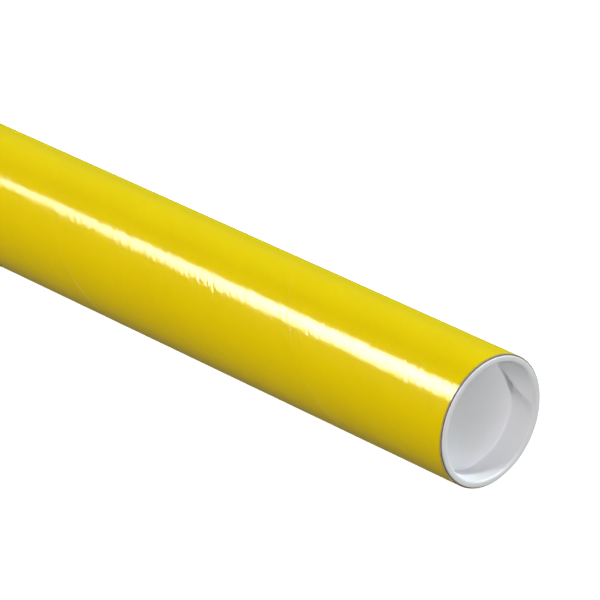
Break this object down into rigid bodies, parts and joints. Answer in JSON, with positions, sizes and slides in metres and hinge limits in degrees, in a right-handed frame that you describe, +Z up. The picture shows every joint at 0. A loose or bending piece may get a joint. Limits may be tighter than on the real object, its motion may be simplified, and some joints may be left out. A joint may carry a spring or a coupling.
{
  "type": "drawing tube",
  "caption": "Round spiral-wound paperboard tube with a glossy yellow wrap, closed by a push-in white plastic cap at each end, for storing and carrying rolled drawings.",
  "frame": {"origin": "on the surface the tube lies on, under the middle of its length", "axes": "+X along the tube's axis towards the front cap, +Y across it, +Z up"},
  "size_m": [0.6112, 0.0543, 0.0543],
  "materials": {
    "liner_paper": "matte",
    "chipboard": "matte",
    "yellow_wrap": "gloss",
    "white_plastic": "satin"
  },
  "bodies": {
    "tube": {"inner_liner": "liner_paper", "body_ply_1": "chipboard", "body_ply_2": "chipboard", "body_ply_3": "chipboard", "outer_wrap": "yellow_wrap"},
    "front_cap": {"front_end_cap": "white_plastic"},
    "rear_cap": {"rear_end_cap": "white_plastic"}
  },
  "joints": [
    {"name": "front_cap_pull", "type": "slide", "parent": "tube", "child": "front_cap", "axis": [1, 0, 0], "range_m": [0, 0.08]},
    {"name": "rear_cap_pull", "type": "slide", "parent": "tube", "child": "rear_cap", "axis": [-1, 0, 0], "range_m": [0, 0.08]}
  ]
}
